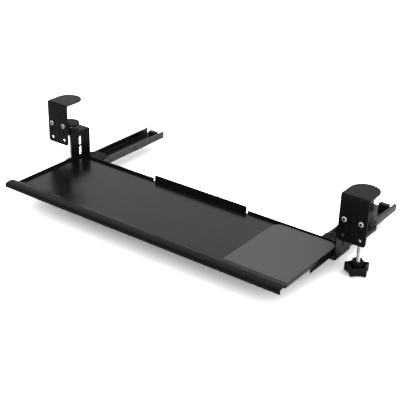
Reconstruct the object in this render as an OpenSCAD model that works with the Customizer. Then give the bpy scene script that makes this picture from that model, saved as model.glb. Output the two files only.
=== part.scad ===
// Sliding keyboard tray that hangs from a desk on two screw clamps.
// The origin is midway between the clamps, where the desk's front edge meets the desk's top face.
// X runs across the desk, Y runs back under it, Z points up. All sizes are in millimetres.
// The tray is drawn pulled out, with the clamps open.

/* [Tray pan] */
// Width of the tray pan over its side rims
pan_w = 678; // [600:1:760]
// Depth of the tray from the front of the wrist rest to the back rim
tray_d = 229.5; // [215:0.5:250]
// How far the wrist rest's front stands out from the desk's edge when the tray is pulled out
pull_out = 197; // [190:0.5:205]
// Sheet thickness of the tray pan
pan_t = 1.2; // [0.8:0.1:2]
// Height of the rims above the deck
rim_h = 5.4; // [3:0.1:7]
// Radius of the pan's two rear corners
pan_corner_r = 22; // [12:1:30]
// Width of the raised keyboard stop on the back rim
key_stop_w = 241; // [120:1:300]
// Height of the keyboard stop above the deck
key_stop_h = 13.5; // [8:0.5:18]
// Radius of the keyboard stop's top corners
key_stop_r = 4; // [1:0.5:6]
// Width of the relief slot at each end of the keyboard stop
relief_w = 3; // [2:0.5:5]
// Diameter of the weld studs under the pan
stud_d = 4; // [3:0.5:5]
// Distance between the two rows of weld studs of one slide
stud_row_gap = 20; // [16:1:22]
// Distance between neighbouring weld studs along a slide
stud_pitch = 38; // [30:1:40]

/* [Wrist rest] */
// Width of the wrist rest
rest_w = 690; // [684:1:696]
// Height of the wrist rest's crown above the deck
rest_rise = 12.6; // [10:0.1:16]
// Distance of the crown behind the front face
rest_crown = 17; // [12:0.5:20]
// Depth of the wrist rest from its front face to its rear edge
rest_run = 41; // [38:0.5:48]
// Depth of the full-width front part, ahead of the side rims
rest_wide_d = 27.5; // [25:0.5:28]
// Wall thickness of the wrist rest
rest_t = 2; // [1.5:0.1:2.5]
// Height above the deck at which the front face starts to round over
rest_nose = 9.4; // [7:0.1:10]
// Height above the deck of the front face's lower edge
rest_lift = 1.8; // [1:0.1:4]
// Height of the wrist rest's rear edge above the deck
rest_edge_h = 3; // [2.8:0.1:5]
// Depth of the hem turned in along the lower front edge
rest_hem_d = 5; // [3:0.5:8]
// Number of screws that hold the wrist rest
rest_screw_n = 5; // [3:1:7]

/* [Mouse pad] */
// Width of the mouse pad
mat_w = 143; // [120:1:160]
// Thickness of the mouse pad
mat_t = 2.7; // [2:0.1:3.2]
// Radius of the mouse pad's left rear corner
mat_corner_r = 20; // [8:1:24]

/* [Slides] */
// Width of each outer rail
rail_w = 53; // [46:0.5:56]
// Height of each outer rail
rail_h = 16.4; // [14:0.1:18]
// Length of each outer rail
rail_l = 263; // [250:1:300]
// Sheet thickness of the rails and slides
rail_t = 1.5; // [1.2:0.1:2]
// Width of the lips turned in at the top of the outer rails
rail_lip_w = 4; // [2.5:0.5:5]
// Diameter of the slide balls
ball_d = 5; // [4:0.5:6]
// Number of balls on each side of a slide
ball_n = 6; // [4:1:7]
// Sheet thickness of the ball cages
cage_t = 0.6; // [0.4:0.1:1]
// Distance of the slides' front ends behind the front of the tray
slide_setback = 126; // [110:1:128]
// Length of slide still inside the outer rail when the tray is pulled out
slide_overlap = 67; // [60:0.5:67]
// Width of the mounting plate on top of each slide
plate_w = 48; // [44:0.5:50]
// Thickness of the mounting plates
plate_t = 1.5; // [1.2:0.1:2]
// Width of each end stop
end_stop_w = 23; // [14:0.5:26]
// Height of each end stop above the rail's floor
end_stop_h = 16; // [15:0.5:20]
// Depth of each end stop along the rail
end_stop_d = 12; // [8:0.5:16]

/* [Clamps] */
// Sheet thickness of the jaws and brackets
steel_t = 2.5; // [2:0.1:3]
// Outside radius of the bends
bend_r = 4; // [3.5:0.5:5]
// Width of each upper jaw
jaw_w = 59; // [56:1:64]
// Reach of the upper jaws behind the desk's front edge
jaw_reach = 63.5; // [60:0.5:74]
// Thickness of the soft pads under the upper jaws
jaw_pad_t = 1.5; // [1:0.1:3]
// Height from the desk's top face down to the bracket's top face
flange_drop = 65.9; // [62:0.1:70]
// Height from the bracket's top face down to the underside of the rail
bracket_h = 78.7; // [70:0.1:100]
// Width of the bracket's top face
flange_w = 60.6; // [58:0.1:64]
// Height of the outer edge turned down from the bracket's top face
flange_edge_h = 10; // [8:0.5:14]
// Height of the bracket's front tab above its top face
front_tab_h = 30; // [28:0.5:34]
// Height of the jaw screws above the bracket's top face
jaw_screw_up = 19.3; // [18:0.1:21]
// Distance between the two columns of holes in a jaw
hole_column_gap = 35; // [30:0.5:38]
// Distance between the rows of holes in a jaw
hole_row_gap = 17.2; // [14:0.1:18]
// Thread diameter of the jaw screws
jaw_screw_d = 6; // [5:0.5:6]
// Diameter of the clamp discs
disc_d = 43; // [36:1:46]
// Height of the clamp discs with their soft faces
disc_h = 4.5; // [4:0.5:8]
// Gap between the upper jaw's pad and the disc's soft face
open_gap = 52.6; // [40:0.1:54.5]
// Thread diameter of the clamp screws
clamp_screw_d = 8; // [8:0.5:10]
// Distance across the points of the star knobs
knob_d = 52; // [46:1:58]
// Height of the star knobs without their hubs
knob_h = 16; // [14:0.5:20]
// Depth from the desk's top face down to the knobs' undersides
knob_drop = 170.6; // [166:0.1:176]

/* [Hidden] */
$fn = 48;

// Clearances shared by pieces that fit together
side_gap = 2.2;      // tray rim to bracket
thread_gap = 0.05;   // screw to threaded hole, on the radius
hole_gap = 0.3;      // screw or stud to plain hole, on the radius
ball_gap = 0.25;     // ball to each running face
slide_gap = 0.3;     // between parts that slide past each other
neck_gap = 0.08;     // clamp disc on the screw's neck, on the radius
cut = 1;             // how far a cutting shape runs past the face it cuts

// Clamp places
clamp_out = 35;
screw_y = 37;
side_x = pan_w / 2 + side_gap;
flange_out = side_x + flange_w;
clamp_x = side_x + clamp_out;

// Upper jaw: the lowest row of holes is hole_edge above the leaf's lower end, the middle row sits a little high
jaw_pad_edge = 2.5;
jaw_corner_r = 6;
hole_edge = 11.7;
middle_row_up = 1.5;
jaw_round_y = jaw_reach - jaw_w / 2;
rib_w = 9;
rib_h = 0.8;
rib_low_edge = 14;
rib_over_row = 24;
flange_z = -flange_drop;
row_z = flange_z + jaw_screw_up;
jaw_top = jaw_pad_t + steel_t;
row_down = [0, hole_row_gap - middle_row_up, 2 * hole_row_gap];
jaw_bottom = row_z - row_down[2] - hole_edge;
rib_low = jaw_bottom + rib_low_edge;
rib_high = row_z + rib_over_row;

// Bracket
plate_front = 3.5;
foot_w = 41;
flange_behind = 27;
flange_corner_r = 10;
edge_behind = 11;
slot_y = 32;
slot_w = 8;
slot_gap = 3;
slot_low_edge = 6;
slot_high_edge = 11;
front_tab_top = flange_z + front_tab_h;
flange_rear = screw_y + flange_behind;
edge_rear = screw_y + edge_behind;

// Jaw screws: head, socket and nut follow the thread diameter
jaw_screw_r = jaw_screw_d / 2;
jaw_head_r = jaw_screw_d * 0.93;
jaw_head_h = jaw_screw_d * 0.55;
jaw_nut_h = jaw_screw_d * 0.83;
jaw_nut_af = jaw_screw_d * 1.67;
jaw_screw_tail = 1.5;
socket_af = jaw_screw_d * 0.83;
socket_depth = jaw_screw_d / 2;

// Clamp screw and disc
clamp_r = clamp_screw_d / 2;
neck_r = clamp_r - 1;
neck_head_r = neck_r + 2;
neck_head_h = 0.8;
weld_nut_h = clamp_screw_d * 0.8;
weld_nut_af = clamp_screw_d * 1.625;
disc_face_t = 1.6;
disc_face_edge = 0.5;
disc_plate_t = 1.8;
collar_r = clamp_r + 2.5;
collar_h = 4;
disc_top = -open_gap;
disc_plate_top = disc_top - disc_face_t;
disc_low = disc_top - disc_h;
collar_low = disc_low - collar_h;

// Star knob: hollow_bend is the radius of the hollow sides, star_tip the blunting of the points;
// left_star_turn is how far the left star stands turned from the right one
knob_low = -knob_drop;
knob_floor_t = 3;
knob_wall = 2.6;
hollow_bend = knob_d * 0.44;
hollow_depth = 3;
star_tip = 1;
hub_r = 11.2;
hub_h = 9.5;
ear_h = 6;
ear_n = 5;
ear_slot_w = 4.5;
ear_wall = 3.2;
left_star_turn = 36;

// Outer rail: tabs bent up at its front ends stop the ball cages
rail_bend_r = 2.5;
inner_bend_r = rail_bend_r - rail_t;
tab_t = rail_t;
tab_reach = 3.4;
rail_x = side_x - rail_w / 2;
rail_low = flange_z - bracket_h;
rail_floor = rail_low + rail_t;
rail_top = rail_low + rail_h;
rail_front = 9;
rail_rear = rail_front + rail_l;

// Rivets through the bracket's foot
rivet_r = 2.5;
rivet_head_r = 4.5;
rivet_head_h = 1.5;
rivet_from_front = [13, 38];
rivet_y = [for (y = rivet_from_front) rail_front + y];

// End stop
stop_inset = 11;
stop_corner_r = 2;
stop_mark_r = 3;
stop_mark_up = 11;
stop_mark_depth = 2;
stop_screw_r = 2;
stop_screw_l = 8;
stop_head_r = 3.8;
stop_head_h = 2;
end_stop_shift = 6;
end_stop_front = rail_rear - stop_inset - end_stop_d;
stop_screw_y = end_stop_front + end_stop_d / 2;

// Slide: its rear tabs reach past the cage's rear end
plate_short = 10;
plate_corner_r = 5;
slide_foot_gap = 1.3;
tray_front = -pull_out;
slide_w = rail_w - 2 * rail_t - 2 * (ball_d + 2 * ball_gap);
slide_front = tray_front + slide_setback;
slide_rear = rail_front + slide_overlap;
web_low = rail_top + slide_gap;
web_top = web_low + rail_t;
plate_top = web_top + plate_t;

// Ball cage, between the rail's front tabs and the slide's rear tabs
pocket_gap = 0.15;
cage_over_ball = 1.5;
ball_inset = 6;
cage_low = rail_floor + slide_gap;
cage_front = rail_front + tab_t + slide_gap;
cage_rear = slide_rear - tab_t - slide_gap;
cage_x = rail_w / 2 - rail_t - ball_gap - ball_d / 2;
slide_low = cage_low + cage_t + slide_foot_gap;
ball_z = (rail_floor + rail_top - rail_t) / 2;
cage_high = ball_z + ball_d / 2 + cage_over_ball;
ball_pitch = (cage_rear - cage_front - 2 * ball_inset) / (ball_n - 1);

// Tray pan: front_lap is how far the pan stays behind the wrist rest's front
front_lap = 28;
rim_setback = 33;
deck_low = plate_top;
deck = deck_low + pan_t;
pan_front = tray_front + front_lap;
pan_rear = tray_front + tray_d;
rim_front = tray_front + rim_setback;

// Weld studs and their nuts; the spare holes show behind the tray
stud_r = stud_d / 2;
stud_l = 9;
stud_row_n = 3;
stud_inset = 15;
nut_h = 3.2;
nut_af = 7;
spare_behind = [11, 26];
stud_y = [for (i = [0:stud_row_n - 1]) pan_rear - stud_inset - i * stud_pitch];
spare_y = [for (y = spare_behind) pan_rear + y];

// Wrist rest: screws, their bosses and the line along the front face
rest_screw_setback = 32;
rest_screw_r = 1.5;
rest_thread_l = 3;
rest_head_r = 3;
rest_head_h = 2.2;
rest_slot_l = 3.2;
rest_slot_w = 0.8;
rest_slot_depth = 1;
rest_boss_r = 3.5;
rest_screw_edge = 12;
rest_line_half = 1.1;
rest_line_depth = 1.2;
rest_screw_y = tray_front + rest_screw_setback;
rest_screw_reach = rail_x - rail_w / 2 - rest_screw_edge;
rest_screw_x = [for (i = [0:rest_screw_n - 1]) (2 * i / (rest_screw_n - 1) - 1) * rest_screw_reach];

// Mouse pad
mat_gap = 0.4;
mat_front_gap = 0.5;
mat_rear_gap = 3;
mat_x1 = pan_w / 2 - pan_t - mat_gap;
mat_x0 = mat_x1 - mat_w;
mat_y0 = tray_front + rest_run + mat_front_gap;
mat_y1 = pan_rear - pan_t - mat_rear_gap;

// Height of the wrist rest's outer face above the deck, at a distance behind its front face
function rest_top(y) = y < rest_crown
    ? rest_nose + (rest_rise - rest_nose) * sqrt(1 - pow((rest_crown - y) / rest_crown, 2))
    : rest_edge_h + (rest_rise - rest_edge_h) * (1 + cos(rest_turn(y))) / 2;

// Half turn of the cosine that the outer face follows from its crown to its rear edge
function rest_turn(y) = 180 * (y - rest_crown) / (rest_run - rest_crown);

// Height of the wrist rest's inner face above the deck
function rest_under(y) = y < rest_crown
    ? rest_nose + (rest_rise - rest_nose - rest_t)
        * sqrt(max(0, 1 - pow((rest_crown - y) / (rest_crown - rest_t), 2)))
    : max(0, rest_top(y) - rest_t);

// Extrudes a flat shape drawn in X and Z along Y
module along_y(y0, y1) {
    translate([0, y1, 0]) rotate([90, 0, 0]) linear_extrude(y1 - y0) children();
}

// Extrudes a flat shape drawn in Y and Z along X
module along_x(x0, x1) {
    translate([x0, 0, 0]) rotate([90, 0, 90]) linear_extrude(x1 - x0) children();
}

// Extrudes a flat shape drawn in X and Y along Z
module along_z(z0, z1) {
    translate([0, 0, z0]) linear_extrude(z1 - z0) children();
}

// Flat rectangle with its corners at two points
module flat_box(x0, y0, x1, y1) {
    translate([x0, y0]) square([x1 - x0, y1 - y0]);
}

// Flat rectangle with four round corners
module round_box(x0, y0, x1, y1, r) {
    flat_box(x0 + r, y0, x1 - r, y1);
    flat_box(x0, y0 + r, x1, y1 - r);
    for (x = [x0 + r, x1 - r], y = [y0 + r, y1 - r]) translate([x, y]) circle(r);
}

// Flat upright slot shape with round ends, centred on x
module slot_shape(x, low, high, w) {
    flat_box(x - w / 2, low + w / 2, x + w / 2, high - w / 2);
    for (y = [low + w / 2, high - w / 2]) translate([x, y]) circle(w / 2);
}

// Flat quarter ring of a sheet bend; it opens away from the quadrant that turn points at
module bend_ring(x, y, turn, r, t) {
    translate([x, y]) rotate(turn) intersection() {
        difference() {
            circle(r);
            circle(r - t);
        }
        square(r + cut);
    }
}

// Cylinder along Y between two places
module rod_y(x, z, y0, y1, r) {
    translate([x, y1, z]) rotate([90, 0, 0]) cylinder(h = y1 - y0, r = r);
}

// Cylinder along Z between two heights
module rod_z(x, y, z0, z1, r) {
    translate([x, y, z0]) cylinder(h = z1 - z0, r = r);
}

// Hexagonal prism along Z, sized across its flats
module hex_z(x, y, z0, z1, af) {
    translate([x, y, z0]) cylinder(h = z1 - z0, r = af / 2 / cos(30), $fn = 6);
}

// Repeats the right-hand shape on the left
module on_left() {
    mirror([1, 0, 0]) children();
}

// Outline of the tray pan, moved in from its edges by inset
module pan_outline(inset) {
    x = pan_w / 2 - inset;
    y = pan_rear - inset;
    r = pan_corner_r - inset;
    flat_box(-x, pan_front, x, y - r);
    flat_box(-x + r, y - r - cut, x - r, y);
    for (s = [-1, 1]) translate([s * (x - r), y - r]) circle(r);
}

// Places of the weld studs, for both slides
module at_studs() {
    for (s = [-1, 1], c = [-0.5, 0.5], y = stud_y)
        translate([s * rail_x + c * stud_row_gap, y, 0]) children();
}

// Pressed tray pan: deck, rims on three sides, keyboard stop and weld studs
module tray_pan() {
    color("#4c4d50") difference() {
        union() {
            along_z(deck_low, deck) pan_outline(0);
            along_z(deck_low, deck + rim_h) difference() {
                pan_outline(0);
                pan_outline(pan_t);
                flat_box(-pan_w, pan_front - cut, pan_w, rim_front);
            }
            along_y(pan_rear - pan_t, pan_rear) {
                flat_box(-key_stop_w / 2, deck_low, key_stop_w / 2, deck + key_stop_h - key_stop_r);
                round_box(-key_stop_w / 2, deck, key_stop_w / 2, deck + key_stop_h, key_stop_r);
            }
            at_studs() rod_z(0, 0, deck_low - stud_l, deck_low + pan_t / 2, stud_r);
        }
        for (s = [-1, 1]) translate([s * (key_stop_w + relief_w) / 2, 0, 0])
            along_z(deck_low - cut, deck + rim_h + cut)
                flat_box(-relief_w / 2, pan_rear - pan_t - 2, relief_w / 2, pan_rear + cut);
        for (x = rest_screw_x) rod_z(x, rest_screw_y, deck_low - cut, deck + cut, rest_screw_r + hole_gap);
    }
}

// Cross-section of the wrist rest in Y and Z
module rest_section() {
    steps = 14;
    nose_y = [for (i = [0:steps]) rest_crown * (1 - cos(90 * i / steps))];
    tail_y = [for (i = [1:steps]) rest_crown + (rest_run - rest_crown) * i / steps];
    inner_run = rest_run - rest_t;
    inner_y = [for (i = [0:steps]) rest_t + (rest_crown - rest_t) * (1 - cos(90 * i / steps))];
    inner_tail_y = [for (i = [1:steps]) rest_crown + (inner_run - rest_crown) * i / steps];
    outer = [for (y = concat(nose_y, tail_y)) [tray_front + y, deck + rest_top(y)]];
    inner = [for (y = concat(inner_y, inner_tail_y)) [tray_front + y, deck + rest_under(y)]];
    back = [for (i = [len(inner) - 1:-1:0]) inner[i]];
    foot = [[tray_front + rest_run, deck], [tray_front + inner_run, deck]];
    low = deck + rest_lift;
    hem = [
        [tray_front + rest_t, low + rest_t / 2],
        [tray_front + rest_hem_d, low + rest_t / 2],
        [tray_front + rest_hem_d, low],
        [tray_front, low]
    ];
    polygon(concat(outer, foot, back, hem));
}

// Hollow wrist rest: curved skin, hem and screw bosses; the part behind the rims' front ends is narrower
module wrist_rest() {
    line_z = deck + rest_nose;
    line_y = tray_front + rest_line_depth;
    step_x = pan_w / 2 - pan_t - mat_gap;
    boss_top = deck + rest_top(rest_screw_y - tray_front) - rest_t / 2;
    color("#3a3b3d") difference() {
        union() {
            along_x(-rest_w / 2, rest_w / 2) rest_section();
            for (x = rest_screw_x) rod_z(x, rest_screw_y, deck, boss_top, rest_boss_r);
        }
        for (s = [-1, 1]) translate([s * (step_x + rest_w) - rest_w, tray_front + rest_wide_d, deck - cut])
            cube([2 * rest_w, rest_run, rest_rise + 2 * cut]);
        along_x(-rest_w / 2 - cut, rest_w / 2 + cut)
            flat_box(tray_front - cut, line_z - rest_line_half, line_y, line_z + rest_line_half);
        for (x = rest_screw_x)
            rod_z(x, rest_screw_y, deck - cut, boss_top - rest_t / 2, rest_screw_r + thread_gap);
    }
}

// Pan-head screws that hold the wrist rest from under the deck
module rest_screws() {
    color("#6b6c6e") for (x = rest_screw_x) difference() {
        union() {
            rod_z(x, rest_screw_y, deck_low - rest_head_h, deck_low, rest_head_r);
            rod_z(x, rest_screw_y, deck_low - cut, deck + rest_thread_l, rest_screw_r);
        }
        for (a = [0, 90]) translate([x, rest_screw_y, deck_low - rest_head_h]) rotate(a)
            cube([rest_slot_l, rest_slot_w, 2 * rest_slot_depth], center = true);
    }
}

// Mouse pad that lies in the pan between the rims, with its rear corners rounded
module mouse_pad() {
    right_r = pan_corner_r - pan_t - mat_gap;
    color("#66676a") along_z(deck, deck + mat_t) {
        flat_box(mat_x0, mat_y0, mat_x1, mat_y1 - right_r);
        flat_box(mat_x0, mat_y0, mat_x1 - right_r, mat_y1 - mat_corner_r);
        flat_box(mat_x0 + mat_corner_r, mat_y0, mat_x1 - right_r, mat_y1);
        translate([mat_x0 + mat_corner_r, mat_y1 - mat_corner_r]) circle(mat_corner_r);
        translate([mat_x1 - right_r, mat_y1 - right_r]) circle(right_r);
    }
}

// Mounting plate between the pan and one slide, with spare holes behind the tray
module slide_plate() {
    color("#8d8f92") difference() {
        along_z(web_top, plate_top)
            round_box(-plate_w / 2, slide_front, plate_w / 2, slide_rear - plate_short, plate_corner_r);
        for (c = [-0.5, 0.5], y = concat(stud_y, spare_y))
            rod_z(c * stud_row_gap, y, web_top - cut, plate_top + cut, stud_r + hole_gap);
    }
}

// Inner member of one slide: an upturned channel whose walls run on the balls, with rear tabs
module inner_slide() {
    half = slide_w / 2;
    color("#7f8184") difference() {
        union() {
            along_y(slide_front, slide_rear) difference() {
                round_box(-half, slide_low - rail_bend_r, half, web_top, rail_bend_r);
                round_box(-half + rail_t, slide_low - 2 * rail_bend_r, half - rail_t, web_low, inner_bend_r);
                flat_box(-half - cut, slide_low - 3 * rail_bend_r, half + cut, slide_low);
            }
            for (s = [-1, 1]) translate([s * (half + tab_reach / 2 - rail_t / 2), slide_rear - tab_t, 0])
                along_z(slide_low, ball_z + ball_d / 2)
                    flat_box(-(tab_reach + rail_t) / 2, 0, (tab_reach + rail_t) / 2, tab_t);
        }
        for (c = [-0.5, 0.5], y = concat(stud_y, spare_y))
            rod_z(c * stud_row_gap, y, web_low - cut, web_top + cut, stud_r + hole_gap);
    }
}

// Nuts that hold both slides on the pan's studs
module slide_nuts() {
    color("#9a9b9d") at_studs() difference() {
        hex_z(0, 0, web_low - nut_h, web_low, nut_af);
        rod_z(0, 0, web_low - nut_h - cut, web_low + cut, stud_r + thread_gap);
    }
}

// Places of the balls along both sides of one slide
module at_balls() {
    for (s = [-1, 1], i = [0:ball_n - 1])
        translate([s * cage_x, cage_front + ball_inset + i * ball_pitch, ball_z]) children();
}

// Ball cage of one slide: a thin U-shaped strip with a pocket for each ball
module ball_cage() {
    outer = cage_x + cage_t / 2;
    color("#b3b0a4") difference() {
        along_y(cage_front, cage_rear) {
            flat_box(-outer, cage_low, outer, cage_low + cage_t);
            for (s = [-1, 1]) translate([s * cage_x, 0])
                flat_box(-cage_t / 2, cage_low, cage_t / 2, cage_high);
        }
        at_balls() rotate([0, 90, 0]) cylinder(h = 2 * cage_t, r = ball_d / 2 + pocket_gap, center = true);
    }
}

// Balls of one slide
module balls() {
    color("#c9cacc") at_balls() sphere(d = ball_d);
}

// Outer rail: a flat channel with its lips turned in and tabs at its front end
module outer_rail() {
    half = rail_w / 2;
    color("#2d2e30") difference() {
        union() {
            along_y(rail_front, rail_rear) difference() {
                round_box(-half, rail_low, half, rail_top, rail_bend_r);
                round_box(-half + rail_t, rail_floor, half - rail_t, rail_top - rail_t, inner_bend_r);
                flat_box(-half + rail_t + rail_lip_w, ball_z, half - rail_t - rail_lip_w, rail_top + cut);
            }
            for (s = [-1, 1]) translate([s * (half - rail_t - tab_reach / 2 + rail_t / 4), rail_front, 0])
                along_z(rail_floor - rail_t / 2, ball_z + ball_d / 2)
                    flat_box(-tab_reach / 2 - rail_t / 4, 0, tab_reach / 2 + rail_t / 4, tab_t);
        }
        for (y = rivet_y) rod_z(0, y, rail_low - cut, rail_floor + cut, rivet_r + thread_gap);
        rod_z(end_stop_shift, stop_screw_y, rail_low - cut, rail_floor + cut, stop_screw_r + hole_gap);
    }
}

// Moulded end stop at the rear of one rail, with a round recess in its front face
module end_stop() {
    half = end_stop_w / 2;
    front = end_stop_front;
    color("#1d1e20") translate([end_stop_shift, 0, 0]) difference() {
        along_z(rail_floor, rail_floor + end_stop_h)
            round_box(-half, front, half, front + end_stop_d, stop_corner_r);
        rod_y(0, rail_floor + stop_mark_up, front - cut, front + stop_mark_depth, stop_mark_r);
        rod_z(0, stop_screw_y, rail_floor - cut, rail_floor + stop_screw_l + cut, stop_screw_r + thread_gap);
    }
}

// Screws that hold both end stops from under the rails
module end_stop_screws() {
    color("#77797c") for (s = [-1, 1]) translate([s * rail_x + end_stop_shift, stop_screw_y, 0]) {
        rod_z(0, 0, rail_low - stop_head_h, rail_low, stop_head_r);
        rod_z(0, 0, rail_low - cut, rail_floor + stop_screw_l, stop_screw_r);
    }
}

// Rivets that join the rails to the brackets' feet, flush with the rails' floors
module rail_rivets() {
    color("#77797c") for (s = [-1, 1], y = rivet_y) translate([s * rail_x, y, 0]) {
        rod_z(0, 0, rail_low - steel_t - rivet_head_h, rail_low - steel_t, rivet_head_r);
        rod_z(0, 0, rail_low - steel_t - cut, rail_floor, rivet_r);
    }
}

// Round-ended slot through the bracket's side plate
module plate_slot(y, z0, z1, w) {
    along_x(side_x - cut, side_x + steel_t + cut) slot_shape(y, z0, z1, w);
}

// Bracket on the right-hand side: side plate, top face, front tab, outer edge and a foot under the rail
module bracket() {
    top_low = flange_z - steel_t;
    flat_x0 = side_x + bend_r;
    flat_x1 = flange_out - bend_r;
    foot_low = rail_low - steel_t;
    rear_r = flange_corner_r;
    slot_low = rail_top + slot_low_edge;
    slot_high = flange_z - slot_high_edge;
    slot_mid = (slot_low + slot_high) / 2;
    color("#202123") difference() {
        union() {
            along_z(top_low, flange_z) {
                flat_box(flat_x0, bend_r, flat_x1, flange_rear - rear_r);
                flat_box(flat_x0, bend_r, flat_x1 - rear_r, flange_rear);
                translate([flat_x1 - rear_r, flange_rear - rear_r]) circle(rear_r);
            }
            along_y(plate_front, flange_rear) {
                bend_ring(flat_x0, flange_z - bend_r, 90, bend_r, steel_t);
                flat_box(side_x, rail_top, side_x + steel_t, flange_z - bend_r);
            }
            along_y(rail_front, flange_rear) {
                flat_box(side_x, foot_low + bend_r, side_x + steel_t, rail_top + cut);
                bend_ring(side_x + steel_t - bend_r, foot_low + bend_r, -90, bend_r, steel_t);
                flat_box(side_x - foot_w, foot_low, side_x + steel_t - bend_r, rail_low);
            }
            along_y(plate_front, edge_rear) {
                bend_ring(flat_x1, flange_z - bend_r, 0, bend_r, steel_t);
                flat_box(flange_out - steel_t, flange_z - flange_edge_h, flange_out, flange_z - bend_r);
            }
            along_x(flat_x0, flat_x1) {
                bend_ring(bend_r, top_low + bend_r, 180, bend_r, steel_t);
                flat_box(0, top_low + bend_r, steel_t, front_tab_top);
            }
        }
        plate_slot(slot_y, slot_low, slot_mid - slot_gap / 2, slot_w);
        plate_slot(slot_y, slot_mid + slot_gap / 2, slot_high, slot_w);
        rod_z(clamp_x, screw_y, top_low - cut, flange_z + cut, clamp_r + 2 * hole_gap);
        for (c = [-0.5, 0.5])
            rod_y(clamp_x + c * hole_column_gap, row_z, -cut, steel_t + cut, jaw_screw_r + hole_gap);
        for (y = rivet_y) rod_z(rail_x, y, foot_low - cut, rail_low + cut, rivet_r + thread_gap);
    }
}

// Upper jaw on the right-hand side: front leaf with rows of holes and a raised rib, and a round-ended tongue
module upper_jaw() {
    half = jaw_w / 2;
    r = jaw_corner_r;
    color("#1c1d1f") translate([clamp_x, 0, 0]) difference() {
        union() {
            along_y(-steel_t, 0) {
                flat_box(-half, jaw_bottom + r, half, jaw_top - bend_r);
                flat_box(-half + r, jaw_bottom, half - r, jaw_bottom + r + cut);
                for (s = [-1, 1]) translate([s * (half - r), jaw_bottom + r]) circle(r);
            }
            along_x(-half, half) bend_ring(bend_r - steel_t, jaw_top - bend_r, 90, bend_r, steel_t);
            along_z(jaw_pad_t, jaw_top) {
                flat_box(-half, bend_r - steel_t, half, jaw_round_y);
                translate([0, jaw_round_y]) circle(half);
            }
            along_y(-steel_t - rib_h, -steel_t / 2) slot_shape(0, rib_low, rib_high, rib_w);
        }
        for (c = [-0.5, 0.5], down = row_down)
            rod_y(c * hole_column_gap, row_z - down, -steel_t - cut, cut, jaw_screw_r + hole_gap);
    }
}

// Soft pad under the right-hand upper jaw's tongue
module jaw_pad() {
    half = jaw_w / 2 - jaw_pad_edge;
    color("#141415") translate([clamp_x, 0, 0]) along_z(0, jaw_pad_t) {
        flat_box(-half, jaw_pad_edge + bend_r - steel_t, half, jaw_round_y);
        translate([0, jaw_round_y]) circle(half);
    }
}

// Button-head screws through the right-hand jaw and bracket
module jaw_screws() {
    head_y = -steel_t - jaw_head_h;
    dome_drop = jaw_head_r * 0.7;
    color("#c4c6c9") for (c = [-0.5, 0.5])
    translate([clamp_x + c * hole_column_gap, 0, row_z]) difference() {
        union() {
            rotate([90, 0, 0]) translate([0, 0, steel_t]) rotate_extrude() intersection() {
                translate([0, -dome_drop]) circle(dome_drop + jaw_head_h);
                flat_box(0, 0, jaw_head_r, jaw_head_h);
            }
            rod_y(0, 0, -steel_t - cut, steel_t + jaw_nut_h + jaw_screw_tail, jaw_screw_r);
        }
        translate([0, head_y + socket_depth, 0]) rotate([90, 0, 0])
            cylinder(h = socket_depth + cut, r = socket_af / 2 / cos(30), $fn = 6);
    }
}

// Nuts behind the right-hand bracket's front tab
module jaw_nuts() {
    color("#a9abae") for (c = [-0.5, 0.5]) translate([clamp_x + c * hole_column_gap, steel_t, row_z])
        rotate([-90, 0, 0]) difference() {
            hex_z(0, 0, 0, jaw_nut_h, jaw_nut_af);
            rod_z(0, 0, -cut, jaw_nut_h + cut, jaw_screw_r + thread_gap);
        }
}

// Threaded nut welded under the right-hand bracket's top face
module weld_nut() {
    nut_top = flange_z - steel_t;
    color("#55575a") difference() {
        hex_z(clamp_x, screw_y, nut_top - weld_nut_h, nut_top, weld_nut_af);
        rod_z(clamp_x, screw_y, nut_top - weld_nut_h - cut, nut_top + cut, clamp_r + thread_gap);
    }
}

// Pressed clamp disc on the right: plate, turned-down rim and a collar round the screw's neck
module disc() {
    r = disc_d / 2;
    plate_low = disc_plate_top - disc_plate_t;
    color("#4a4b4d") translate([clamp_x, screw_y, 0]) difference() {
        union() {
            rod_z(0, 0, disc_low, disc_plate_top, r);
            rod_z(0, 0, collar_low, disc_plate_top, collar_r);
        }
        difference() {
            rod_z(0, 0, disc_low - cut, plate_low, r - disc_plate_t);
            rod_z(0, 0, collar_low - cut, plate_low + cut, collar_r);
        }
        rod_z(0, 0, collar_low - cut, disc_plate_top + cut, neck_r + neck_gap);
    }
}

// Soft face on the right-hand clamp disc, hollow over the screw's riveted end
module disc_face() {
    color("#5a5b5d") translate([clamp_x, screw_y, 0]) difference() {
        rod_z(0, 0, disc_plate_top, disc_top, disc_d / 2 - disc_face_edge);
        rod_z(0, 0, disc_plate_top - cut, disc_plate_top + neck_head_h + slide_gap, neck_head_r + slide_gap);
    }
}

// Clamp screw on the right: threaded shank, thin neck through the disc and a riveted end
module clamp_screw() {
    color("#b9bbbe") translate([clamp_x, screw_y, 0]) {
        rod_z(0, 0, knob_low + knob_floor_t, collar_low - slide_gap / 2, clamp_r);
        rod_z(0, 0, collar_low - cut, disc_plate_top + neck_head_h, neck_r);
        rod_z(0, 0, disc_plate_top + neck_gap, disc_plate_top + neck_head_h, neck_head_r);
    }
}

// Flat star with five blunt points and hollow sides, one point facing the front; wall moves the outline in
module star(wall) {
    r = knob_d / 2;
    hollow_x = r * cos(36) - hollow_depth + hollow_bend;
    rotate(54) difference() {
        circle(r, $fn = 5);
        for (i = [0:4]) rotate(72 * i + 36) translate([hollow_x, 0]) circle(hollow_bend + wall);
        difference() {
            circle(r + cut);
            circle(r - star_tip - wall);
        }
    }
}

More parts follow.
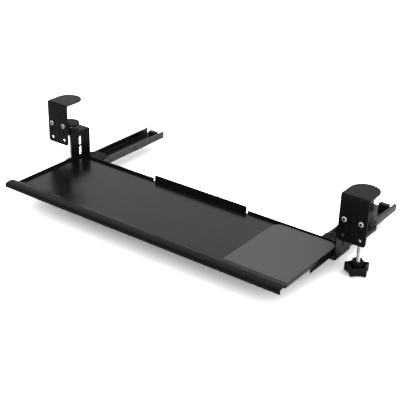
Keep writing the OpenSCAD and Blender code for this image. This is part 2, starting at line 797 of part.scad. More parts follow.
// Star knob on the right: hollow star, turned round the screw, with a castellated hub
module knob(turn) {
    hub_top = knob_low + knob_h + hub_h;
    color("#1e1f21") translate([clamp_x, screw_y, 0]) difference() {
        union() {
            along_z(knob_low, knob_low + knob_h) rotate(turn) star(0);
            rod_z(0, 0, knob_low, hub_top, hub_r);
        }
        difference() {
            along_z(knob_low + knob_floor_t, knob_low + knob_h + cut) rotate(turn) star(knob_wall);
            rod_z(0, 0, knob_low, hub_top, hub_r);
        }
        rod_z(0, 0, hub_top - ear_h, hub_top + cut, hub_r - ear_wall);
        for (i = [0:ear_n - 1]) rotate(360 * i / ear_n + 54)
            translate([0, -ear_slot_w / 2, hub_top - ear_h]) cube([hub_r + cut, ear_slot_w, ear_h + cut]);
        rod_z(0, 0, knob_low + knob_floor_t, hub_top + cut, clamp_r + thread_gap);
    }
}

module left_slide_plate() { translate([-rail_x, 0, 0]) slide_plate(); }
module right_slide_plate() { translate([rail_x, 0, 0]) slide_plate(); }
module left_inner_slide() { translate([-rail_x, 0, 0]) inner_slide(); }
module right_inner_slide() { translate([rail_x, 0, 0]) inner_slide(); }
module left_ball_cage() { translate([-rail_x, 0, 0]) ball_cage(); }
module right_ball_cage() { translate([rail_x, 0, 0]) ball_cage(); }
module left_balls() { translate([-rail_x, 0, 0]) balls(); }
module right_balls() { translate([rail_x, 0, 0]) balls(); }
module left_outer_rail() { translate([-rail_x, 0, 0]) outer_rail(); }
module right_outer_rail() { translate([rail_x, 0, 0]) outer_rail(); }
module left_end_stop() { translate([-rail_x, 0, 0]) end_stop(); }
module right_end_stop() { translate([rail_x, 0, 0]) end_stop(); }
module left_bracket() { on_left() bracket(); }
module left_upper_jaw() { on_left() upper_jaw(); }
module left_jaw_pad() { on_left() jaw_pad(); }
module left_jaw_screws() { on_left() jaw_screws(); }
module left_jaw_nuts() { on_left() jaw_nuts(); }
module left_weld_nut() { on_left() weld_nut(); }
module left_disc() { on_left() disc(); }
module left_disc_face() { on_left() disc_face(); }
module left_clamp_screw() { on_left() clamp_screw(); }
module left_knob() { on_left() knob(left_star_turn); }

tray_pan();
wrist_rest();
rest_screws();
mouse_pad();
left_slide_plate();
right_slide_plate();
left_inner_slide();
right_inner_slide();
slide_nuts();
left_ball_cage();
right_ball_cage();
left_balls();
right_balls();
left_outer_rail();
right_outer_rail();
left_end_stop();
right_end_stop();
end_stop_screws();
rail_rivets();
left_bracket();
bracket();  // right_bracket
left_upper_jaw();
upper_jaw();  // right_upper_jaw
left_jaw_pad();
jaw_pad();  // right_jaw_pad
left_jaw_screws();
jaw_screws();  // right_jaw_screws
left_jaw_nuts();
jaw_nuts();  // right_jaw_nuts
left_weld_nut();
weld_nut();  // right_weld_nut
left_disc();
disc();  // right_disc
left_disc_face();
disc_face();  // right_disc_face
left_clamp_screw();
clamp_screw();  // right_clamp_screw
left_knob();
knob(0);  // right_knob
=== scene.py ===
# %% [markdown]
# # A sliding keyboard tray on two screw clamps
# The real tray is a pressed steel pan with a curved plastic wrist rest. It slides on two flat ball-bearing
# rails, and each rail hangs from a bent steel clamp that grips the desk with a screw and a star knob.
# Nearly all of it is black, so the finishes differ in gloss and grain more than in colour. That makes this
# a lesson in surfaces: coated steel, moulded plastic, rubber, knitted cloth and plated screws.
#
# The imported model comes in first. It fixes every size and place, and nothing here moves it.

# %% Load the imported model
import math

import bmesh
import bpy
from mathutils import Matrix, Vector


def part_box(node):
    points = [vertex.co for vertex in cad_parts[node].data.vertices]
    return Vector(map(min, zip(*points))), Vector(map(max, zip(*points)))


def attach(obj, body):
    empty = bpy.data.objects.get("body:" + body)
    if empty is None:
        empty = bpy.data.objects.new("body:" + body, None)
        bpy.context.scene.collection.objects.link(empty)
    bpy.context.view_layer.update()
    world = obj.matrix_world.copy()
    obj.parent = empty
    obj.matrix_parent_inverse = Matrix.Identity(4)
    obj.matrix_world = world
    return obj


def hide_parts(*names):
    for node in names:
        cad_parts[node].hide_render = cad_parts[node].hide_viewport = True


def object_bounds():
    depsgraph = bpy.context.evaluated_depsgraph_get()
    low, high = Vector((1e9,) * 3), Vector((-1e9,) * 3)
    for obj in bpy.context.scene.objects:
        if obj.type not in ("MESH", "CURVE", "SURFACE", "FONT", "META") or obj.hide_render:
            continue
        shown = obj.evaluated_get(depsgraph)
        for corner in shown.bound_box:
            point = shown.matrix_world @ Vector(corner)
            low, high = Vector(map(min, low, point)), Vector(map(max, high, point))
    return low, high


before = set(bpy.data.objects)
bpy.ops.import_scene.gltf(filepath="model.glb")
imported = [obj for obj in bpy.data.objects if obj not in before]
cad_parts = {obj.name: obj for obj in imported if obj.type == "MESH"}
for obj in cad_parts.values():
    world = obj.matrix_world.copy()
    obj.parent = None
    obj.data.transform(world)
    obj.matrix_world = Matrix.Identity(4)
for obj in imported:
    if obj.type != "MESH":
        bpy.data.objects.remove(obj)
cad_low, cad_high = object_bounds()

MM = 0.001  # scene units are metres
print("model size in mm:", [round((b - a) / MM, 1) for a, b in zip(cad_low, cad_high)])

# %% [markdown]
# ## Camera
# The camera is found once from the photograph's straight edges: where parallel edges meet gives its
# direction and lens, and known lengths give its distance. A long lens, 84 mm on a 36 mm sensor, keeps the
# two clamps nearly the same size. Its turn is built from three plain angles, which reads better than a
# table of matrix numbers.

# %% Camera
PICTURE_PX = 400
FOCAL_PX = 934.95
SENSOR_MM = 36.0
YAW, PITCH, ROLL = math.radians(36.09), math.radians(26.33), math.radians(1.4)
EYE = Vector((1.04732, -1.40193, 0.74573))


def camera_turn(yaw, pitch, roll):
    """Rotation of a camera that looks along +Y, turned left by yaw, down by pitch, and then rolled."""
    ahead = Vector((-math.sin(yaw) * math.cos(pitch), math.cos(yaw) * math.cos(pitch), -math.sin(pitch)))
    level = Vector((math.cos(yaw), math.sin(yaw), 0))
    rise = level.cross(ahead)
    right = math.cos(roll) * level + math.sin(roll) * rise
    up = math.cos(roll) * rise - math.sin(roll) * level
    return Matrix((right, up, -ahead)).transposed().to_4x4()


camera = bpy.data.objects.new("camera", bpy.data.cameras.new("camera"))
bpy.context.scene.collection.objects.link(camera)
camera.data.sensor_width = SENSOR_MM
camera.data.lens = FOCAL_PX / PICTURE_PX * SENSOR_MM
camera.matrix_world = Matrix.Translation(EYE) @ camera_turn(YAW, PITCH, ROLL)
bpy.context.scene.camera = camera
print("lens in mm:", round(camera.data.lens, 2))

# %% [markdown]
# ## Small helpers
# Colours are written as the hex values that a paint chart or a screen shows, and one function turns them
# into the linear numbers that shaders work in. One more function adds a shader node with its settings and
# links, so that each material below reads like a recipe.

# %% Colour and shader helpers
def linear(hex_colour):
    """An sRGB hex colour such as #1c1d1f as linear RGBA."""
    parts = [int(hex_colour[i:i + 2], 16) / 255 for i in (1, 3, 5)]
    return [c / 12.92 if c <= 0.04045 else ((c + 0.055) / 1.055) ** 2.4 for c in parts] + [1.0]


def add(tree, kind, inputs=None, **settings):
    """Adds a shader node. settings go on the node; inputs are numbers, colours or sockets to link."""
    made = tree.nodes.new("ShaderNode" + kind)
    for name, value in settings.items():
        setattr(made, name, value)
    for name, value in (inputs or {}).items():
        if isinstance(value, bpy.types.NodeSocket):
            tree.links.new(value, made.inputs[name])
        else:
            made.inputs[name].default_value = value
    return made


def new_finish(name, colour, roughness, metallic=0.0, specular=0.5):
    """A material with plain values; also returns its tree, its shader and its object coordinates."""
    made = bpy.data.materials.new(name)
    made.use_nodes = True
    tree = made.node_tree
    shader = tree.nodes["Principled BSDF"]
    shader.inputs["Base Color"].default_value = linear(colour)
    shader.inputs["Roughness"].default_value = roughness
    shader.inputs["Metallic"].default_value = metallic
    shader.inputs["Specular IOR Level"].default_value = specular
    place = add(tree, "TexCoord").outputs["Object"]
    return made, tree, shader, place


print("black paint #0b0b0b reflects", round(100 * linear("#0b0b0b")[0], 2), "percent of the light")

# %% [markdown]
# ## Grain, mottle and cloudy gloss
# Three things make a surface look made instead of drawn: a fine relief, a slight drift in colour, and a
# slight drift in gloss. Each could be painted as an image, but noise in object space needs no unwrapping
# and keeps its real scale in millimetres on every piece. The sizes below are always the size of one grain.
# A fourth helper paints shade into the colour of corners that light hardly reaches.

# %% Surface helpers
MOTTLE_SPAN = (0.35, 0.65)  # noise seldom leaves 0.3 to 0.7, so its drift is spread over that range
GLOSS_SPAN = (0.3, 0.7)
OCCLUSION_SAMPLES = 8
DARKEST_PAINTED_SHADE = 0.03  # share of its colour that a closed corner keeps


def grain(tree, shader, place, size, depth, stretch=(1, 1, 1), detail=3.0):
    """Fine relief: a grain is size across and depth high, in metres; stretch draws it out along an axis."""
    scaled = add(tree, "Mapping", {"Vector": place, "Scale": [1 / s for s in stretch]})
    noise = add(tree, "TexNoise", {"Vector": scaled.outputs[0], "Scale": 1 / size, "Detail": detail})
    bump = add(tree, "Bump", {"Height": noise.outputs[0], "Distance": depth, "Strength": 1.0})
    tree.links.new(bump.outputs[0], shader.inputs["Normal"])


def mottle(tree, shader, place, dark, light, size):
    """Slight drift in colour between two close colours, over patches of the given size."""
    noise = add(tree, "TexNoise", {"Vector": place, "Scale": 1 / size, "Detail": 4.0})
    ramp = add(tree, "ValToRGB", {"Fac": noise.outputs[0]})
    for stop, position, colour in zip(ramp.color_ramp.elements, MOTTLE_SPAN, (dark, light)):
        stop.position = position
        stop.color = linear(colour)
    tree.links.new(ramp.outputs[0], shader.inputs["Base Color"])


def cloudy_gloss(tree, shader, place, low, high, size):
    """Roughness that drifts between two values over patches of the given size."""
    noise = add(tree, "TexNoise", {"Vector": place, "Scale": 1 / size, "Detail": 2.0})
    spread = add(tree, "MapRange", {"Value": noise.outputs[0], "From Min": GLOSS_SPAN[0],
                                    "From Max": GLOSS_SPAN[1], "To Min": low, "To Max": high})
    tree.links.new(spread.outputs[0], shader.inputs["Roughness"])


def paint_recess_shade(tree, shader, reach, shut, clear):
    """Paints shade into the colour where nearby faces shut the light out: darkest below shut, full above
    clear.
    """
    colour = shader.inputs["Base Color"].links[0].from_socket
    # Painted shade: ambient occlusion darkens the base colour in recesses
    sky = add(tree, "AmbientOcclusion", {"Distance": reach}, samples=OCCLUSION_SAMPLES)
    share = add(tree, "MapRange", {"Value": sky.outputs["AO"], "From Min": shut, "From Max": clear,
                                   "To Min": DARKEST_PAINTED_SHADE})
    painted_shade_colour = add(tree, "VectorMath", {0: colour, "Scale": share.outputs[0]}, operation="SCALE")
    tree.links.new(painted_shade_colour.outputs[0], shader.inputs["Base Color"])


def give(finish, *names):
    """Puts a finish on CAD nodes, by name."""
    for name in names:
        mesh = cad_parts[name].data
        mesh.materials.clear()
        mesh.materials.append(finish)
    print("finish:", finish.name, "on", ", ".join(names))


print("a grain of 1 mm is a noise scale of", round(1 / MM))

# %% [markdown]
# ## Powder coat on the clamps
# The brackets and jaws are cut and bent from 2.5 mm steel, then dusted with epoxy-polyester powder and
# baked. The powder melts into a skin with a faint orange peel, dimples about a millimetre apart, and a
# satin gloss. Black powder reflects little head-on and much more at a grazing angle, which is why the flat
# tops look grey and the upright leaves nearly black. A dark colour with a low specular level keeps that
# contrast: the grazing share of the reflection stays, and the head-on share goes.

# %% Powder coat
powder_coat, tree, shader, place = new_finish("powder_coat", "#0b0b0b", 0.3, specular=0.09)
mottle(tree, shader, place, "#090909", "#0d0d0d", 18 * MM)
cloudy_gloss(tree, shader, place, 0.28, 0.38, 12 * MM)
grain(tree, shader, place, 1.1 * MM, 0.02 * MM)
give(powder_coat, "left_bracket", "right_bracket", "left_upper_jaw", "right_upper_jaw",
     "left_disc", "right_disc")

# %% [markdown]
# ## Satin coat on the pan
# The pan is pressed from thin sheet and coated more smoothly than the clamps, since a keyboard slides
# about on it. It shows blurred reflections of the clamp that stands behind it, so its roughness is low
# and its relief is shallow and slow.

# %% Tray coat
tray_coat, tree, shader, place = new_finish("tray_coat", "#080808", 0.22, specular=0.26)
mottle(tree, shader, place, "#070707", "#090909", 60 * MM)
cloudy_gloss(tree, shader, place, 0.19, 0.25, 30 * MM)
grain(tree, shader, place, 1.6 * MM, 0.002 * MM, detail=1.0)
give(tray_coat, "tray_pan")

# %% [markdown]
# ## Moulded plastic: wrist rest, end stops and knobs
# The wrist rest is extruded and the small pieces are moulded from black plastic. Die and mould are spark
# eroded, which leaves a fine grain of a third to half a millimetre. The rest's smooth plastic has a satin
# gloss, while the glass fibres in the knobs' and stops' nylon make it more matt and more uneven.

# %% Moulded plastics
rest_plastic, tree, shader, place = new_finish("grained_pvc", "#0a0a0a", 0.26, specular=0.1)
mottle(tree, shader, place, "#0a0a0a", "#0c0c0c", 40 * MM)
cloudy_gloss(tree, shader, place, 0.23, 0.29, 25 * MM)
grain(tree, shader, place, 0.5 * MM, 0.008 * MM)
give(rest_plastic, "wrist_rest")

nylon, tree, shader, place = new_finish("glass_filled_nylon", "#0e0e0e", 0.45, specular=0.15)
mottle(tree, shader, place, "#0b0b0b", "#131313", 5 * MM)
grain(tree, shader, place, 0.35 * MM, 0.012 * MM)
give(nylon, "left_knob", "right_knob", "left_end_stop", "right_end_stop")

# %% [markdown]
# ## Plated steel: screws, nuts, cages and balls
# Screws and nuts are plated with bright zinc, with soft clouds where the passivation is thicker. The ball
# cages are drawn from strip, which leaves fine lines along their length, so their noise is stretched
# thirty times along Y. The balls are hardened and polished. The jaw screws' plate carries painted shade
# wherever little light gets in, which darkens their sockets.

# %% Plated steels
bright_zinc, tree, shader, place = new_finish("bright_zinc_plate", "#dfe1e4", 0.2, metallic=1.0)
mottle(tree, shader, place, "#d6d9dd", "#e8e9eb", 4 * MM)
cloudy_gloss(tree, shader, place, 0.16, 0.26, 3 * MM)
give(bright_zinc, "left_jaw_nuts", "right_jaw_nuts", "slide_nuts")

button_zinc, tree, shader, place = new_finish("zinc_plate_with_painted_socket_shade", "#cfd1d4", 0.3, metallic=1.0)
mottle(tree, shader, place, "#c2c5c9", "#dadbde", 4 * MM)
# Painted shade: the plate's colour darkens inside the sockets where little light gets in
paint_recess_shade(tree, shader, 6 * MM, 0.85, 0.98)

black_zinc, tree, shader, place = new_finish("black_zinc_plate", "#4a4b4e", 0.35, metallic=1.0)
mottle(tree, shader, place, "#434447", "#545558", 5 * MM)
give(black_zinc, "rest_screws", "end_stop_screws", "rail_rivets", "left_weld_nut", "right_weld_nut")

cage_steel, tree, shader, place = new_finish("drawn_strip_steel", "#a9a69a", 0.33, metallic=1.0)
grain(tree, shader, place, 0.4 * MM, 0.004 * MM, stretch=(1, 30, 1))
give(cage_steel, "left_ball_cage", "right_ball_cage")

ball_steel, tree, shader, place = new_finish("polished_bearing_steel", "#d9dadd", 0.08, metallic=1.0)
cloudy_gloss(tree, shader, place, 0.06, 0.14, 2 * MM)
give(ball_steel, "left_balls", "right_balls")

# %% [markdown]
# ## Dip coat on rails and slides
# The rails and slides are dipped in black electro-coat, a film so thin that the rolled strip shines through
# it, so the rails are treated as a dark metal. The strip's fine lengthwise lines show as soft streaks in
# the gloss, and painted shade darkens the rails' colour inside, where little light gets in. The slides and
# their plates have a thicker coat with grease on it, which is darker and more uneven.

# %% Electro-coats
rail_coat, tree, shader, place = new_finish("black_electro_coat", "#494949", 0.3, metallic=1.0)
mottle(tree, shader, place, "#434343", "#4f4f4f", 16 * MM)
# Painted shade: the rails' colour darkens inside the channel where little light gets in
paint_recess_shade(tree, shader, 30 * MM, 0.1, 0.9)
cloudy_gloss(tree, shader, place, 0.24, 0.36, 9 * MM)
grain(tree, shader, place, 0.8 * MM, 0.006 * MM, stretch=(1, 30, 1))
give(rail_coat, "left_outer_rail", "right_outer_rail")

slide_coat, tree, shader, place = new_finish("greased_electro_coat", "#0b0b0b", 0.34, specular=0.04)
mottle(tree, shader, place, "#090909", "#0f0f0f", 9 * MM)
cloudy_gloss(tree, shader, place, 0.26, 0.44, 6 * MM)
grain(tree, shader, place, 0.6 * MM, 0.008 * MM, stretch=(1, 40, 1))
give(slide_coat, "left_slide_plate", "right_slide_plate", "left_inner_slide", "right_inner_slide")

# %% [markdown]
# ## Rubber and cloth
# The jaws' pads and the discs' faces are cut from dense foam rubber, which is matt and shows tiny cells.
# The mouse mat has a knitted face: two families of threads that cross. Real threads are about 0.35 mm
# apart, which is too fine to show at this distance, so they are drawn 1.2 mm apart.

# %% Foam rubber and mat cloth
foam_rubber, tree, shader, place = new_finish("foam_rubber", "#343536", 0.85, specular=0.25)
cells = add(tree, "TexVoronoi", {"Vector": place, "Scale": 1 / (0.6 * MM)})
dents = add(tree, "Bump", {"Height": cells.outputs["Distance"], "Distance": 0.05 * MM, "Strength": 0.6})
tree.links.new(dents.outputs[0], shader.inputs["Normal"])

THREAD_PITCH = 1.2 * MM
mat_cloth, tree, shader, place = new_finish("knitted_mat_cloth", "#616161", 0.85, specular=0.15)
turns = 2 * math.pi / THREAD_PITCH
axes = add(tree, "SeparateXYZ", {"Vector": place})
across = add(tree, "Math", {0: axes.outputs["X"], 1: turns}, operation="MULTIPLY")
along = add(tree, "Math", {0: axes.outputs["Y"], 1: turns}, operation="MULTIPLY")
warp = add(tree, "Math", {0: across.outputs[0]}, operation="SINE")
weft = add(tree, "Math", {0: along.outputs[0]}, operation="COSINE")
knit = add(tree, "Math", {0: warp.outputs[0], 1: weft.outputs[0]}, operation="MULTIPLY")
height = add(tree, "MapRange", {"Value": knit.outputs[0], "From Min": -1.0})
# The knit's pattern sets the colour: darker in the dips between loops and lighter on the loops, which is
# painted shade on the knit's relief
knit_painted_shade = add(tree, "ValToRGB", {"Fac": height.outputs[0]})
knit_painted_shade.color_ramp.elements[0].color = linear("#5a5a5a")
knit_painted_shade.color_ramp.elements[1].color = linear("#696969")
tree.links.new(knit_painted_shade.outputs[0], shader.inputs["Base Color"])
loops = add(tree, "Bump", {"Height": knit.outputs[0], "Distance": 0.06 * MM, "Strength": 0.8})
tree.links.new(loops.outputs[0], shader.inputs["Normal"])
print("threads in one cm of the mat:", round(10 * MM / THREAD_PITCH, 1))

# %% [markdown]
# ## Soft pieces: mouse mat, jaw pads and disc faces
# Foam that is cut with a die has a crisp outline and slightly rounded rims. Each slab is built from rings
# of points: the same outline, moved in a little at its lower and upper rim. A bevel modifier could do it
# too, but rings show where every point comes from.

# %% Slabs from rings
CORNER_STEPS = 10
RIM_STEPS = 4
SAME_POINT = 0.001 * MM


def outline(low, high, radii, inset):
    """Points round a rectangle whose four corners have their own radii, moved in by inset."""
    centres = [(low.x, low.y), (high.x, low.y), (high.x, high.y), (low.x, high.y)]
    points = []
    for i, (corner, radius) in enumerate(zip(centres, radii)):
        inward = Vector((1 if i in (0, 3) else -1, 1 if i < 2 else -1))
        centre = Vector(corner) + inward * radius
        for step in range(CORNER_STEPS + 1):
            turn = math.radians(180 + 90 * (i + step / CORNER_STEPS))
            points.append(centre + (radius - inset) * Vector((math.cos(turn), math.sin(turn))))
    return points


def from_rings(rings, helix=False):
    """Vertices and faces of a closed body through rings of points; a helix leaves each ring's ends apart."""
    count = len(rings[0])
    vertices = [point for ring in rings for point in ring]
    faces = [tuple(reversed(range(count)))]
    for lower in range(len(rings) - 1):
        start = lower * count
        for i in range(count - 1 if helix else count):
            j = (i + 1) % count
            faces.append((start + i, start + j, start + count + j, start + count + i))
    faces.append(tuple(range((len(rings) - 1) * count, len(rings) * count)))
    return vertices, faces


def new_piece(name, vertices, faces, finish, body, node):
    """A smooth mesh object that rides on a body and stands for one CAD node."""
    data = bpy.data.meshes.new(name)
    data.from_pydata(vertices, [], faces)
    cleaned = bmesh.new()
    cleaned.from_mesh(data)
    bmesh.ops.remove_doubles(cleaned, verts=cleaned.verts, dist=SAME_POINT)
    bmesh.ops.recalc_face_normals(cleaned, faces=cleaned.faces)
    cleaned.to_mesh(data)
    data.shade_smooth()
    data.materials.append(finish)
    made = bpy.data.objects.new(name, data)
    bpy.context.scene.collection.objects.link(made)
    made.modifiers.new("even_normals", "WEIGHTED_NORMAL").keep_sharp = True
    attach(made, body)
    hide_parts(node)
    return made


def slab(name, node, radii, rim, finish, body):
    """A flat slab that fills the box of a CAD node, with its lower and upper rims rounded by rim."""
    low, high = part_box(node)
    turns = [math.radians(90 * step / RIM_STEPS) for step in range(RIM_STEPS + 1)]
    levels = [(rim * (1 - math.sin(turn)), low.z + rim * (1 - math.cos(turn))) for turn in turns]
    levels += [(rim * (1 - math.cos(turn)), high.z - rim * (1 - math.sin(turn))) for turn in turns]
    rings = [[(p.x, p.y, z) for p in outline(low, high, radii, inset)] for inset, z in levels]
    vertices, faces = from_rings(rings)
    return new_piece(name, vertices, faces, finish, body, node)


print("points round one slab:", 4 * (CORNER_STEPS + 1))

# %% Mouse mat
MAT_REAR_LEFT_R = 20 * MM
MAT_REAR_RIGHT_R = 20.4 * MM
MAT_FRONT_R = 3 * MM
MAT_RIM = 0.7 * MM
mat_radii = (MAT_FRONT_R, MAT_FRONT_R, MAT_REAR_RIGHT_R, MAT_REAR_LEFT_R)
mat = slab("mouse_mat", "mouse_pad", mat_radii, MAT_RIM, mat_cloth, "tray")

# %% Jaw pads and disc faces
PAD_FRONT_R = 1.5 * MM
PAD_RIM = 0.3 * MM
FACE_RIM = 0.5 * MM
for side in ("left", "right"):
    pad_low, pad_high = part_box(side + "_jaw_pad")
    half = (pad_high.x - pad_low.x) / 2
    pad = slab(side + "_grip_pad", side + "_jaw_pad", (PAD_FRONT_R, PAD_FRONT_R, half, half), PAD_RIM,
               foam_rubber, "clamp_frame")
    face_low, face_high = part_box(side + "_disc_face")
    radius = (face_high.x - face_low.x) / 2
    face = slab(side + "_disc_pad", side + "_disc_face", (radius,) * 4, FACE_RIM, foam_rubber,
                side + "_clamp_disc")
print("pad half width in mm:", round(half / MM, 2), "disc pad radius in mm:", round(radius / MM, 2))

# %% [markdown]
# ## Clamp screws
# The clamp screws are M8 rod with its thread rolled on, 1.25 mm a turn, flat crests and roots, and a
# chamfer at each end. The thread is a helix by formula: every point's height comes from its turn, so each
# screw has 85 real threads. A bump map would look the same from afar, but not against the light.

# %% Threaded rods
THREAD_PITCH_M8 = 1.25 * MM
CREST_R = 4.0 * MM
CORE_R = 3.233 * MM
END_R = CORE_R - 0.3 * MM
NECK_R = 3.0 * MM
RIVET_R = NECK_R + 1.8 * MM
RIVET_TOP_R = NECK_R + 1.2 * MM
RIVET_H = 0.72 * MM
RIVET_EDGE = 0.3 * MM
COLLAR_GAP = 0.15 * MM
ROUND_STEPS = 24
# Height within one turn, and radius there
GROOVE = [(0.0, CORE_R), (0.3125 * MM, CORE_R), (0.703 * MM, CREST_R), (0.859 * MM, CREST_R)]


def thread_rings(centre, low, high):
    """Rings of points up a threaded rod; every ring climbs one pitch over its turn."""
    turns = int((high - low) / THREAD_PITCH_M8) + 3
    rings = []
    for row in range(turns * len(GROOVE)):
        turn, part = divmod(row, len(GROOVE))
        ring = []
        for step in range(ROUND_STEPS + 1):
            angle = 2 * math.pi * step / ROUND_STEPS
            z = low + THREAD_PITCH_M8 * (turn - 1 + step / ROUND_STEPS) + GROOVE[part][0]
            z = min(max(z, low), high)
            r = min(GROOVE[part][1], END_R + min(z - low, high - z))
            ring.append((centre.x + r * math.cos(angle), centre.y + r * math.sin(angle), z))
        rings.append(ring)
    return rings


def plain_ring(centre, radius, z):
    """A level ring of points with the same count as the thread's rings."""
    angles = [2 * math.pi * step / ROUND_STEPS for step in range(ROUND_STEPS + 1)]
    return [(centre.x + radius * math.cos(a), centre.y + radius * math.sin(a), z) for a in angles]


for side in ("left", "right"):
    rod_low, rod_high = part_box(side + "_clamp_screw")
    rod_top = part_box(side + "_disc")[0].z - COLLAR_GAP
    centre = (rod_low + rod_high) / 2
    rings = thread_rings(centre, rod_low.z, rod_top)
    neck = [(NECK_R, rod_top), (NECK_R, rod_high.z - RIVET_H), (RIVET_R, rod_high.z - RIVET_H),
            (RIVET_R, rod_high.z - RIVET_EDGE), (RIVET_TOP_R, rod_high.z)]
    rings += [plain_ring(centre, radius, z) for radius, z in neck]
    vertices, faces = from_rings(rings, helix=True)
    new_piece(side + "_threaded_rod", vertices, faces, bright_zinc, side + "_screw_and_knob",
              side + "_clamp_screw")
print("threads on each screw:", round((rod_top - rod_low.z) / THREAD_PITCH_M8))

# %% [markdown]
# ## Jaw screws
# Two button-head screws hold each jaw. In the photograph their heads are bright rings with a dark middle, so
# they are low and their six-sided sockets are wide. Each screw is built from rings again, from its tail to
# the socket's floor. Every ring has 24 points, and six times four of them make the hexagon.

# %% Button-head screws
SHANK_R = 3.0 * MM
SHANK_CHAMFER = 0.4 * MM
SOCKET_FLATS = 5.6 * MM
SOCKET_LEVELS = (0.05 * MM, 0.25 * MM, 1.7 * MM)
# Share of the head's radius, and height there in mm
BUTTON = [(1.0, 0.0), (1.0, 0.35), (0.97, 0.75), (0.9, 1.2), (0.8, 1.55), (0.69, 1.75), (0.63, 1.8)]
BUTTON_H = BUTTON[-1][1] * MM


def upright_ring(centre, y, radius=None, flats=None):
    """Points round the Y direction: a circle, or with flats a hexagon that is flats wide."""
    points = []
    for step in range(ROUND_STEPS):
        angle = 2 * math.pi * step / ROUND_STEPS
        r = flats / 2 / math.cos(angle % (math.pi / 3) - math.pi / 6) if flats else radius
        points.append((centre.x + r * math.cos(angle), y, centre.z + r * math.sin(angle)))
    return points


for side in ("left", "right"):
    row_low, row_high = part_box(side + "_jaw_screws")
    leaf_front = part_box(side + "_upper_jaw")[0].y
    head_r = (row_high.z - row_low.z) / 2
    vertices, faces = [], []
    for x in (row_low.x + head_r, row_high.x - head_r):
        centre = Vector((x, 0, row_low.z + head_r))
        rings = [upright_ring(centre, row_high.y, SHANK_R - SHANK_CHAMFER),
                 upright_ring(centre, row_high.y - SHANK_CHAMFER, SHANK_R),
                 upright_ring(centre, leaf_front, SHANK_R)]
        rings += [upright_ring(centre, leaf_front - rise * MM, share * head_r) for share, rise in BUTTON]
        rings += [upright_ring(centre, leaf_front - BUTTON_H + sunk, flats=SOCKET_FLATS)
                  for sunk in SOCKET_LEVELS]
        points, sides = from_rings(rings)
        faces += [tuple(len(vertices) + i for i in one) for one in sides]
        vertices += points
    new_piece(side + "_button_screws", vertices, faces, button_zinc, "clamp_frame",
              side + "_jaw_screws")
print("jaw screw heads in mm:", round(2 * head_r / MM, 1), "across,", round(BUTTON_H / MM, 1), "high")

# %% [markdown]
# ## Round shapes and softened edges
# The construction model is made of flat facets. Shading blends them where they stand for a curve, and stops
# at edges that are sharp on the real piece: each mesh is joined up and then split at those edges only. The
# jaws, discs, rails and stops also get a narrow bevel, because a cut or moulded edge is never perfectly
# sharp and catches a thin line of light. All of this is in modifiers, so the model's own points stay put.

# %% Smooth curves
SHARP = math.radians(35)
NEARLY_FLAT = math.radians(0.1)
BEVEL_STEPS = 2


def join_points(made):
    """Joins the doubled points that triangles carry."""
    made.modifiers.new("join_points", "WELD").merge_threshold = SAME_POINT
    made.data.shade_smooth()


def smooth_curves(*names):
    """Blends the facets of CAD nodes up to their sharp edges."""
    for name in names:
        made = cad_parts[name]
        join_points(made)
        made.modifiers.new("sharp_edges", "EDGE_SPLIT").split_angle = SHARP
        made.modifiers.new("even_normals", "WEIGHTED_NORMAL").keep_sharp = True


def soften(width, *names):
    """Rounds the sharp edges of CAD nodes by width."""
    for name in names:
        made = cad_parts[name]
        join_points(made)
        flat = made.modifiers.new("merge_flat_faces", "DECIMATE")
        flat.decimate_type = "DISSOLVE"
        flat.angle_limit = NEARLY_FLAT
        bevel = made.modifiers.new("soft_edges", "BEVEL")
        bevel.width = width
        bevel.segments = BEVEL_STEPS
        bevel.limit_method = "ANGLE"
        bevel.angle_limit = SHARP
        bevel.use_clamp_overlap = False
        made.modifiers.new("even_normals", "WEIGHTED_NORMAL").keep_sharp = True


smooth_curves("tray_pan", "wrist_rest", "left_bracket", "right_bracket", "left_knob", "right_knob")
soften(0.1 * MM, "left_upper_jaw", "right_upper_jaw", "left_end_stop", "right_end_stop")
soften(0.2 * MM, "left_outer_rail", "right_outer_rail")
soften(0.3 * MM, "left_disc", "right_disc")
print("softened nodes:", sum(1 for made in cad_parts.values() if "soft_edges" in made.modifiers))

# %% [markdown]
# ## Floor and light
# The object stands just over a pale floor. The paint is lighter for the camera than for the light that
# bounces off it, so the floor is white in the picture and its shadows stay soft, and mirrored rays meet a
# white floor and a white sky. Ambient occlusion adds the shade where the object comes close to the floor.
# An even sky leaves black paint black from the front and grey at a grazing angle. One wide lamp hangs over
# the object and two wide ones stand low in front of it.

# %% Floor
FLOOR_BELOW = 2.5 * MM
FLOOR_SIDE = 12.0
FLOOR_GLOW = 0.04
PAINT_FOR_BOUNCES, PAINT_FOR_MIRRORS, PAINT_FOR_CAMERA = 0.88, 1.05, 3.0
CONTACT_REACH = 60 * MM
CONTACT_SHADE = 0.65
floor_mesh = bmesh.new()
bmesh.ops.create_grid(floor_mesh, x_segments=1, y_segments=1, size=FLOOR_SIDE / 2)
floor_data = bpy.data.meshes.new("floor")
floor_mesh.to_mesh(floor_data)
floor = bpy.data.objects.new("floor", floor_data)
bpy.context.scene.collection.objects.link(floor)
floor.location.z = cad_low.z - FLOOR_BELOW

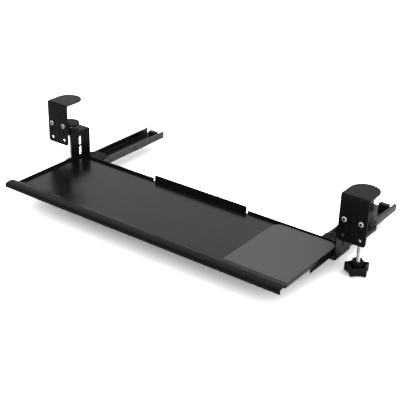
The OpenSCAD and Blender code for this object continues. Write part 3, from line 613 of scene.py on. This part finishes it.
# A diffuse shader and a faint glow take the place of the usual shader
floor_paint = bpy.data.materials.new("floor_paint")
floor_paint.use_nodes = True
tree = floor_paint.node_tree
tree.nodes.remove(tree.nodes["Principled BSDF"])
rays = add(tree, "LightPath")
camera_ray, glossy_ray = rays.outputs["Is Camera Ray"], rays.outputs["Is Glossy Ray"]
seen = add(tree, "Math", {0: camera_ray, 1: glossy_ray}, operation="MAXIMUM")
glow = add(tree, "Math", {0: seen.outputs[0], 1: FLOOR_GLOW}, operation="MULTIPLY")
light = add(tree, "Emission", {"Color": linear("#ffffff"), "Strength": glow.outputs[0]})
mirrored = add(tree, "MapRange", {"Value": glossy_ray, "To Min": PAINT_FOR_BOUNCES,
                                  "To Max": PAINT_FOR_MIRRORS})
paint = add(tree, "MapRange", {"Value": camera_ray, "To Min": mirrored.outputs[0],
                               "To Max": PAINT_FOR_CAMERA})
near = add(tree, "AmbientOcclusion", {"Distance": CONTACT_REACH}, samples=OCCLUSION_SAMPLES)
contact = add(tree, "MapRange", {"Value": near.outputs["AO"], "From Min": 0.5, "From Max": 0.95,
                                 "To Min": CONTACT_SHADE})
shaded = add(tree, "Math", {0: paint.outputs[0], 1: contact.outputs[0]}, operation="MULTIPLY")
matt = add(tree, "BsdfDiffuse", {"Color": shaded.outputs[0]})
both = add(tree, "AddShader", {0: matt.outputs[0], 1: light.outputs[0]})
tree.links.new(both.outputs[0], tree.nodes["Material Output"].inputs["Surface"])
floor_data.materials.append(floor_paint)
print("floor below the model in mm:", round(FLOOR_BELOW / MM, 1))

# %% World
SKY_FOR_BOUNCES = 0.8
world = bpy.data.worlds.new("studio")
world.use_nodes = True
tree = world.node_tree
background = tree.nodes["Background"]
background.inputs["Color"].default_value = linear("#ffffff")
rays = add(tree, "LightPath")
seen = add(tree, "Math", {0: rays.outputs["Is Camera Ray"], 1: rays.outputs["Is Glossy Ray"]},
           operation="MAXIMUM")
sky = add(tree, "MapRange", {"Value": seen.outputs[0], "To Min": SKY_FOR_BOUNCES, "To Max": 1.0})
tree.links.new(sky.outputs[0], background.inputs["Strength"])
bpy.context.scene.world = world
print("sky: 1 for the camera and mirrors,", SKY_FOR_BOUNCES, "for the rest")

# %% Lamps
def soft_lamp(name, place, aim, side, power):
    """A square lamp at place that points at aim: side in metres, power in watts."""
    data = bpy.data.lights.new(name, "AREA")
    data.shape = "SQUARE"
    data.size = side
    data.energy = power
    made = bpy.data.objects.new(name, data)
    bpy.context.scene.collection.objects.link(made)
    made.location = place
    made.rotation_euler = (Vector(aim) - Vector(place)).to_track_quat("-Z", "Y").to_euler()
    print("lamp:", name, side, "m wide,", power, "W")


middle = (cad_low + cad_high) / 2
soft_lamp("top_lamp", (0.9, 0.9, 2.2), middle, 2.4, 14.0)
soft_lamp("right_front_lamp", (2.0, -1.7, 1.1), middle, 2.6, 12.0)
soft_lamp("left_front_lamp", (-0.6, -2.4, 1.1), middle, 2.0, 5.0)
bpy.context.scene.view_settings.view_transform = "Standard"
